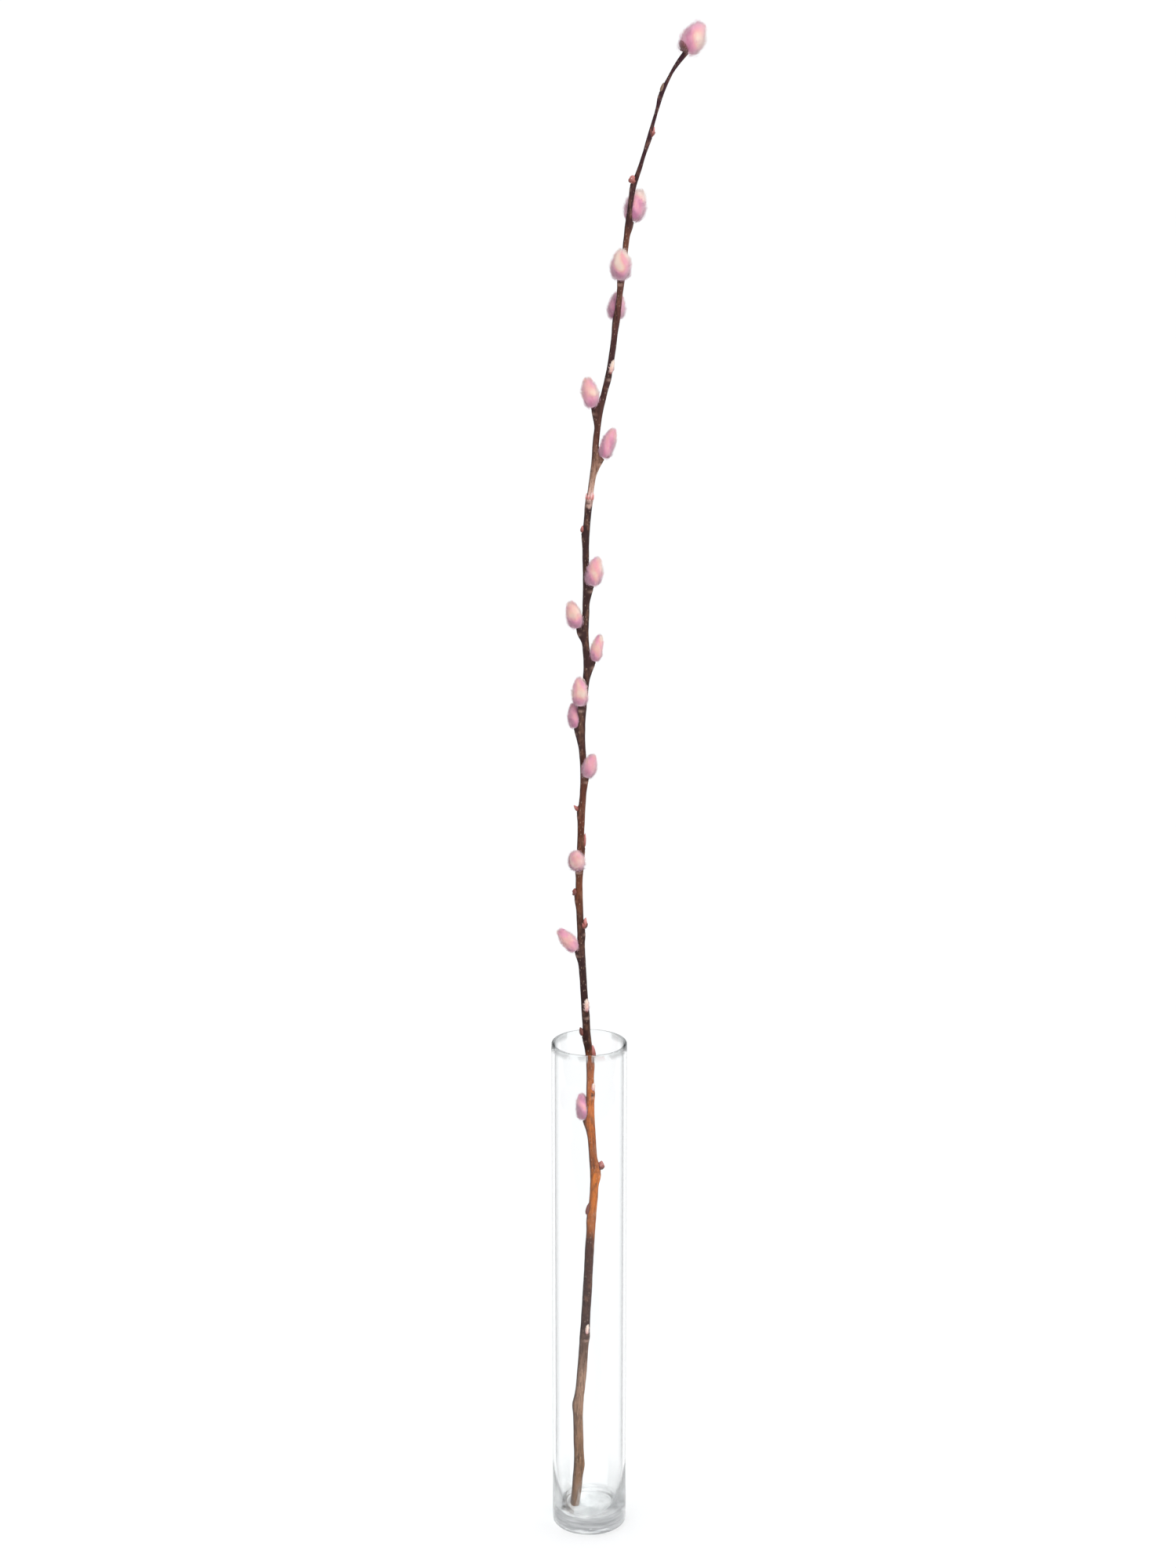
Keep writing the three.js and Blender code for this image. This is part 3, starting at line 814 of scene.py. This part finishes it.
def bud_piece(name, look, stem, settings, materials):
    """One bud: smooth and rough ones are a scale, a forked one is two, a collar is a ring of small
    ones, and silk stands out of a short one."""
    make, tone = look
    draw = np.random.default_rng(300 + BUDS.index(name))
    foot, axis, length, width = egg_of(name)
    row = stem.spot(foot)[2]
    inward = stem.centre[row] - foot
    foot = foot + unit(inward - axis * (inward @ axis)) * BUD_SINK
    egg = Egg(foot, axis, length, width)
    fan = [leaned(egg, egg.out(np.array([turn]))[0] * tilt, size)
           for turn, tilt, size in zip(draw.uniform(0, 6.28) + np.arange(4) * 1.7,
                                       (0.15, 0.5, 0.7, 0.6), (0.85, 0.7, 0.6, 0.5))]
    knob = Egg(foot, axis, length, width * 1.6)
    shapes = {"smooth": [(egg, 0.02, 0.0)],
              "rough": [(part, 0.16, drop) for part, drop in zip(fan, (0.0, 0.35, 0.15, 0.45))],
              "stub": [(leaned(knob, egg.first * 0, 0.9), 0.18, 0.2),
                       (fan[1], 0.14, 0.0), (fan[2], 0.14, 0.3)],
              "silk": [(leaned(egg, egg.first * 0, 0.45), 0.08, 0.3)],
              "forked": [(leaned(egg, egg.first * 0.3, 0.95), 0.06, 0.0),
                         (leaned(egg, -egg.first * 0.35, 0.7), 0.06, 0.2)],
              "collar": collar_scales(stem, row, draw)}[make]
    parts = []
    for shape, rough, darker in shapes:
        points, faces, share = scale_body(shape, draw, rough)
        grade = np.clip(tone - darker - 0.15 + 0.35 * share * (tone > 0.55), 0, 1)
        parts.append((points, faces, {"tone": grade}))
    points, faces, attributes = joined(parts)
    piece = make_piece("scale_" + name, points, faces, attributes, materials[0])
    if make != "silk":
        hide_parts(name)
        return
    start = egg.foot + egg.axis * egg.length * 0.1
    bulb = Egg(start, egg.axis, egg.length * 0.95, egg.width * 0.95)
    tone_at = tone_pattern(bulb, (tone - 0.2, tone, tone + 0.2, 0.0))
    coat = fur_coat(draw, bulb, 26, 34, settings.silk_thickness / 2, tone_at)
    core = egg_body(bulb, 0.62, 12, 16, tone_at, 0.3)
    points, faces, attributes = joined([core, coat])
    normals = attributes.pop("normal")
    silk = make_piece("silk_" + name, points, faces, attributes, materials[1], normals)
    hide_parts(name)


def top_scale_piece(material):
    """The opened scale of the top catkin: a boat-shaped shell, with an outer skin and an inner one
    a little inside it, that hugs the catkin's left side and comes to a point."""
    low, high = (np.array(corner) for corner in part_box("top_scale"))
    egg = Egg(*egg_of(CATKINS[-1]))
    middle = (low + high) / 2 - egg.foot
    towards = unit(middle - egg.axis * (middle @ egg.axis))
    towards = unit(towards + 0.7 * np.cross(egg.axis, towards))
    beside = np.cross(egg.axis, towards)
    rows, columns = 20, 15
    share, turn = np.meshgrid(np.linspace(0, 1, rows), np.linspace(-1, 1, columns), indexing="ij")
    half = 1.15 * np.sqrt(np.clip(1 - share ** 1.5, 0, 1)) + 0.02
    out = np.cos(turn * half)[..., None] * towards + np.sin(turn * half)[..., None] * beside
    place = -0.02 + 0.26 * share
    skins = []
    for gap in (0.0009, 0.0003):
        radius = egg_radius(np.clip(place, 0.02, 1)) * egg.width * 0.98 + gap
        along = (place * egg.length)[..., None] * egg.axis
        skins.append(egg.foot + along + radius[..., None] * out)
    loop = np.concatenate([skins[0], skins[1][:, ::-1]], 1)
    points, faces = closed_surface(loop, loop[0].mean(0), loop[-1].mean(0))
    rows_tone = np.repeat(0.22 + 0.20 * share[:, :1], 2 * columns, 1)
    tone = np.concatenate([rows_tone.ravel(), [0.2, 0.4]])
    piece = make_piece("opened_scale", points, faces, {"tone": tone}, material)
    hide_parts("top_scale")


# ---------------------------------------------------------------- the vase

def arc(middle, radius, start, stop, steps):
    """Points of a circular arc in the plane of the profile, from one angle to another."""
    angle = np.radians(np.linspace(start, stop, steps))
    return np.stack([middle[0] + radius * np.cos(angle), middle[1] + radius * np.sin(angle)], -1)


def vase_piece(settings):
    """The vase: one profile turned round Z, of foot, wall, fire-polished rim, bore and a floor that
    curves up into the bore like a bowl, as a quarter of an ellipse."""
    foot, rim = settings.foot_round, (VASE_RADIUS - VASE_INNER) / 2
    reach, rise = settings.bowl_reach, settings.bowl_rise
    flat = np.linspace(0.15, 1, 6)[:, None]
    wall = np.linspace(0, 1, 60)[1:-1, None]
    outer = arc((VASE_RADIUS - foot, foot), foot, -90, 0, 14)
    mouth = arc((VASE_RADIUS - rim, VASE_HEIGHT - rim), rim, 0, 180, 26)
    bowl = arc((0, 0), 1, 0, -90, 60) * [reach, rise] + [VASE_INNER - reach, VASE_FLOOR + rise]
    profile = np.concatenate([
        flat[:-1] * outer[0], outer, outer[-1] + (mouth[0] - outer[-1]) * wall, mouth,
        mouth[-1] + (bowl[0] - mouth[-1]) * wall, bowl,
        bowl[-1] * np.stack([1 - flat[:-1, 0] * 0.95, np.ones(len(flat) - 1)], -1),
    ])
    turn = np.arange(settings.vase_sides) / settings.vase_sides * 2 * np.pi
    across_x = profile[:, :1] * np.cos(turn)
    across_y = profile[:, :1] * np.sin(turn)
    height = np.broadcast_to(profile[:, 1:], across_x.shape)
    grid = np.stack([across_x, across_y, height], -1)
    points, faces = closed_surface(grid, (0, 0, 0), (0, 0, VASE_FLOOR))
    piece = make_piece("glass_vase", points, faces, {}, glass_material(settings))
    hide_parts("vase")


# ---------------------------------------------------------------- settings

def length_property(name, description, millimetres):
    """A length that is given in millimetres and held in metres."""
    return bpy.props.FloatProperty(name=name, description=description, default=millimetres * MM,
                                   min=0.0, unit="LENGTH", subtype="DISTANCE", precision=5)


def number_property(name, description, value):
    return bpy.props.FloatProperty(name=name, description=description, default=value)


def count_property(name, description, count):
    return bpy.props.IntProperty(name=name, description=description, default=count, min=3)


def colour_property(name, description, colour):
    return bpy.props.FloatVectorProperty(name=name, description=description, default=colour,
                                         size=3, min=0.0, max=1.0, subtype="COLOR")


class WillowVaseSettings(bpy.types.PropertyGroup):
    """Sizes and colours of the vase."""
    foot_round: length_property("Foot round", "Radius of the rounded edge of the foot", 2.4)
    bowl_reach: length_property("Bowl reach", "How far the bowl curves inward", 8.0)
    bowl_rise: length_property("Bowl rise", "How far the bowl curves up the wall", 36.0)
    vase_sides: count_property("Sides", "Facets round the vase", 144)
    # Painted refraction: where, and in what tint, the glass is painted grey when seen edge on
    painted_edge_start: number_property("Edge start", "Facing at which the glass starts to look grey", 0.48)
    rim_clear: number_property("Rim clear", "How clear the rim is", 0.5)
    bowl_clear: number_property("Bowl clear", "How clear the bowl is", 0.3)
    glass_colour: colour_property("Glass colour", "Tint of the clear glass", (0.995, 1.0, 1.0))
    painted_edge_colour: colour_property("Edge colour", "Tint where glass is seen edge on",
                                 (0.02, 0.02, 0.03))
    # Painted refraction: strength and tint of the dark line painted along the inner wall
    line: number_property("Line", "Strength of the line along the wall", 0.75)
    painted_line_colour: colour_property("Line colour", "Tint of the line along the wall",
                                 (0.2, 0.2, 0.21))
    # Painted refraction: the grey painted in streaks into the thick foot
    painted_foot_colour: colour_property("Cast colour", "Tint of streaks in the thick foot",
                                 (0.40, 0.41, 0.42))


class WillowStemSettings(bpy.types.PropertyGroup):
    """Fineness and relief of the bark."""
    rows: count_property("Rows", "Rings along the stem", 1500)
    sides: count_property("Sides", "Points in a ring", 32)
    wrinkle: length_property("Wrinkle", "Height of the bark's wrinkles", 0.065)
    ledge: length_property("Ledge", "How far a leaf cushion's ledge stands out", 0.40)
    ledge_drop: length_property("Ledge drop", "How far the ledge lies below its bud", 0.8)
    lenticels: count_property("Lenticels", "Raised pores", 220)
    band_edge: length_property("Band edge", "Raggedness of the edges of bark colours", 22.0)
    flecks: number_property("Flecks", "Strength of pale flecks", 0.35)
    # Painted shade: how dark, and in what colour, the bark's left side is painted
    shade: number_property("Shade", "Darkness of the shade side", 0.8)
    painted_shade_colour: colour_property("Shade colour", "Bark of the shade side", srgb(46, 26, 30))


class WillowCatkinSettings(bpy.types.PropertyGroup):
    """Fur of the catkins and of the open buds."""
    tufts: count_property("Tufts", "Flower scales on a catkin", 120)
    hairs: count_property("Hairs", "Hairs in a tuft", 54)
    thickness: length_property("Thickness", "Width of a hair of a catkin", 0.075)
    silk_thickness: length_property("Silk thickness", "Width of a hair of a bud", 0.06)
    paleness: number_property("Paleness", "Paleness of hair tips", 0.8)
    # Rim: strength of the painted sheen that makes the coat paler where it is seen edge on
    rim: number_property("Rim", "Paleness of the coat edge on", 0.62)
    glow: number_property("Glow", "Lamp light that passes a hair", 0.85)
    tip_colour: colour_property("Tip colour", "Colour of the hairs' ends", srgb(255, 240, 243))
    through: number_property("Through", "Share of light through a hair", 0.22)
    through_colour: colour_property("Through colour", "Colour of light through a hair",
                                    srgb(244, 184, 192))


class WillowStageSettings(bpy.types.PropertyGroup):
    """Floor, lamps and camera."""
    distance: bpy.props.FloatProperty(name="Distance", description="Camera to the vase's axis",
                                      default=2.088, unit="LENGTH")
    height: bpy.props.FloatProperty(name="Height", description="Camera above the floor",
                                    default=1.154, unit="LENGTH")
    pitch: bpy.props.FloatProperty(name="Pitch", description="How far the camera looks down",
                                   default=math.radians(16.70), subtype="ANGLE")
    lens: number_property("Lens", "Focal length in millimetres", 77.76)
    floor_colour: colour_property("Floor colour", "Colour of the floor", (0.92, 0.92, 0.92))
    sky_colour: colour_property("Sky colour", "Light from all round", (0.68, 0.69, 0.70))
    key: number_property("Key", "Strength of the soft light", 2.0)
    key_drop: bpy.props.FloatProperty(name="Key drop", description="Angle of the light off upright",
                                      default=math.radians(46), subtype="ANGLE")
    key_turn: bpy.props.FloatProperty(name="Key turn", description="Angle of the light round Z",
                                      default=math.radians(30), subtype="ANGLE")
    softness: bpy.props.FloatProperty(name="Softness", description="Angle that the light fills",
                                      default=math.radians(50), subtype="ANGLE")


# ---------------------------------------------------------------- operators

class WILLOW_OT_make_vase(bpy.types.Operator):
    """Make the glass vase"""
    bl_idname = "willow.make_vase"
    bl_label = "Make Vase"

    def execute(self, context):
        vase_piece(context.scene.willow_vase)
        return {"FINISHED"}


class WILLOW_OT_make_stem(bpy.types.Operator):
    """Make the stem with its bark"""
    bl_idname = "willow.make_stem"
    bl_label = "Make Stem"

    def execute(self, context):
        stem_piece(context.scene.willow_stem)
        return {"FINISHED"}


class WILLOW_OT_make_catkins(bpy.types.Operator):
    """Make the furry catkins"""
    bl_idname = "willow.make_catkins"
    bl_label = "Make Catkins"

    def execute(self, context):
        settings = context.scene.willow_catkins
        material = fur_material(settings)
        for name, look in zip(CATKINS, CATKIN_LOOKS):
            catkin_piece(name, look, settings, material)
        return {"FINISHED"}


class WILLOW_OT_make_buds(bpy.types.Operator):
    """Make the buds and their silk"""
    bl_idname = "willow.make_buds"
    bl_label = "Make Buds"

    def execute(self, context):
        settings = context.scene.willow_catkins
        materials = (bud_material(), fur_material(settings))
        stem = Stem(context.scene.willow_stem.rows, context.scene.willow_stem.sides)
        for name, look in zip(BUDS, BUD_LOOKS):
            bud_piece(name, look, stem, settings, materials)
        top_scale_piece(materials[0])
        return {"FINISHED"}


class WILLOW_OT_make_stage(bpy.types.Operator):
    """Make the floor, the lamps and the camera"""
    bl_idname = "willow.make_stage"
    bl_label = "Make Stage"

    def execute(self, context):
        settings = context.scene.willow_stage
        make_floor(settings)
        make_lamps(settings)
        make_camera(settings)
        return {"FINISHED"}


def make_floor(settings):
    """A wide plain floor."""
    graph = Graph("studio_floor")
    shader = graph.node("ShaderNodeBsdfPrincipled", {}, {
        "Base Color": (*settings.floor_colour, 1), "Roughness": 0.9, "Specular IOR Level": 0.1})
    material = graph.surface(shader)
    half, level = 30.0, -0.2 * MM
    mesh = bpy.data.meshes.new("studio_floor")
    corners = ((-half, -half), (half, -half), (half, half), (-half, half))
    mesh.from_pydata([(*corner, level) for corner in corners], [], [(0, 1, 2, 3)])
    mesh.materials.append(material)
    floor = bpy.data.objects.new("studio_floor", mesh)
    bpy.context.scene.collection.objects.link(floor)


def make_lamps(settings):
    """One broad soft light, as even over the whole floor as an overcast sun, and a grey sky."""
    data = bpy.data.lights.new("key_light", "SUN")
    data.energy = settings.key
    data.angle = settings.softness
    lamp = bpy.data.objects.new("key_light", data)
    bpy.context.scene.collection.objects.link(lamp)
    lamp.rotation_euler = (settings.key_drop, 0, settings.key_turn)
    world = bpy.data.worlds.new("studio_world")
    world.use_nodes = True
    sky = world.node_tree.nodes["Background"]
    sky.inputs["Color"].default_value = (*settings.sky_colour, 1)
    bpy.context.scene.world = world
    bpy.context.scene.view_settings.view_transform = "Standard"


def make_camera(settings):
    """The camera in front of the vase, looking slightly down."""
    data = bpy.data.cameras.new("camera")
    data.lens = settings.lens
    data.sensor_width = 36.0
    data.clip_end = 100.0
    camera = bpy.data.objects.new("camera", data)
    bpy.context.scene.collection.objects.link(camera)
    camera.location = (-0.8 * MM, -settings.distance, settings.height)
    camera.rotation_euler = (math.pi / 2 - settings.pitch, 0, 0)
    bpy.context.scene.camera = camera


class WILLOW_PT_panel(bpy.types.Panel):
    """Lists the steps that make the willow stem in its vase"""
    bl_idname = "WILLOW_PT_panel"
    bl_label = "Willow Stem"
    bl_space_type = "VIEW_3D"
    bl_region_type = "UI"
    bl_category = "Willow"

    def draw(self, context):
        for operator in OPERATORS:
            self.layout.operator(operator.bl_idname)
        for key in SETTINGS:
            group = getattr(context.scene, key)
            box = self.layout.box()
            for name in group.__annotations__:
                box.prop(group, name)


OPERATORS = (WILLOW_OT_make_stage, WILLOW_OT_make_vase, WILLOW_OT_make_stem, WILLOW_OT_make_catkins,
             WILLOW_OT_make_buds)
SETTINGS = {"willow_vase": WillowVaseSettings, "willow_stem": WillowStemSettings,
            "willow_catkins": WillowCatkinSettings, "willow_stage": WillowStageSettings}
CLASSES = (*SETTINGS.values(), *OPERATORS, WILLOW_PT_panel)


def register():
    for item in CLASSES:
        bpy.utils.register_class(item)
    for key, group in SETTINGS.items():
        setattr(bpy.types.Scene, key, bpy.props.PointerProperty(type=group))


def unregister():
    for key in SETTINGS:
        delattr(bpy.types.Scene, key)
    for item in reversed(CLASSES):
        bpy.utils.unregister_class(item)


def main():
    register()
    bpy.ops.willow.make_stage()
    bpy.ops.willow.make_vase()
    bpy.ops.willow.make_stem()
    bpy.ops.willow.make_catkins()
    bpy.ops.willow.make_buds()
    bpy.context.view_layer.update()


if __name__ == "__main__":
    main()
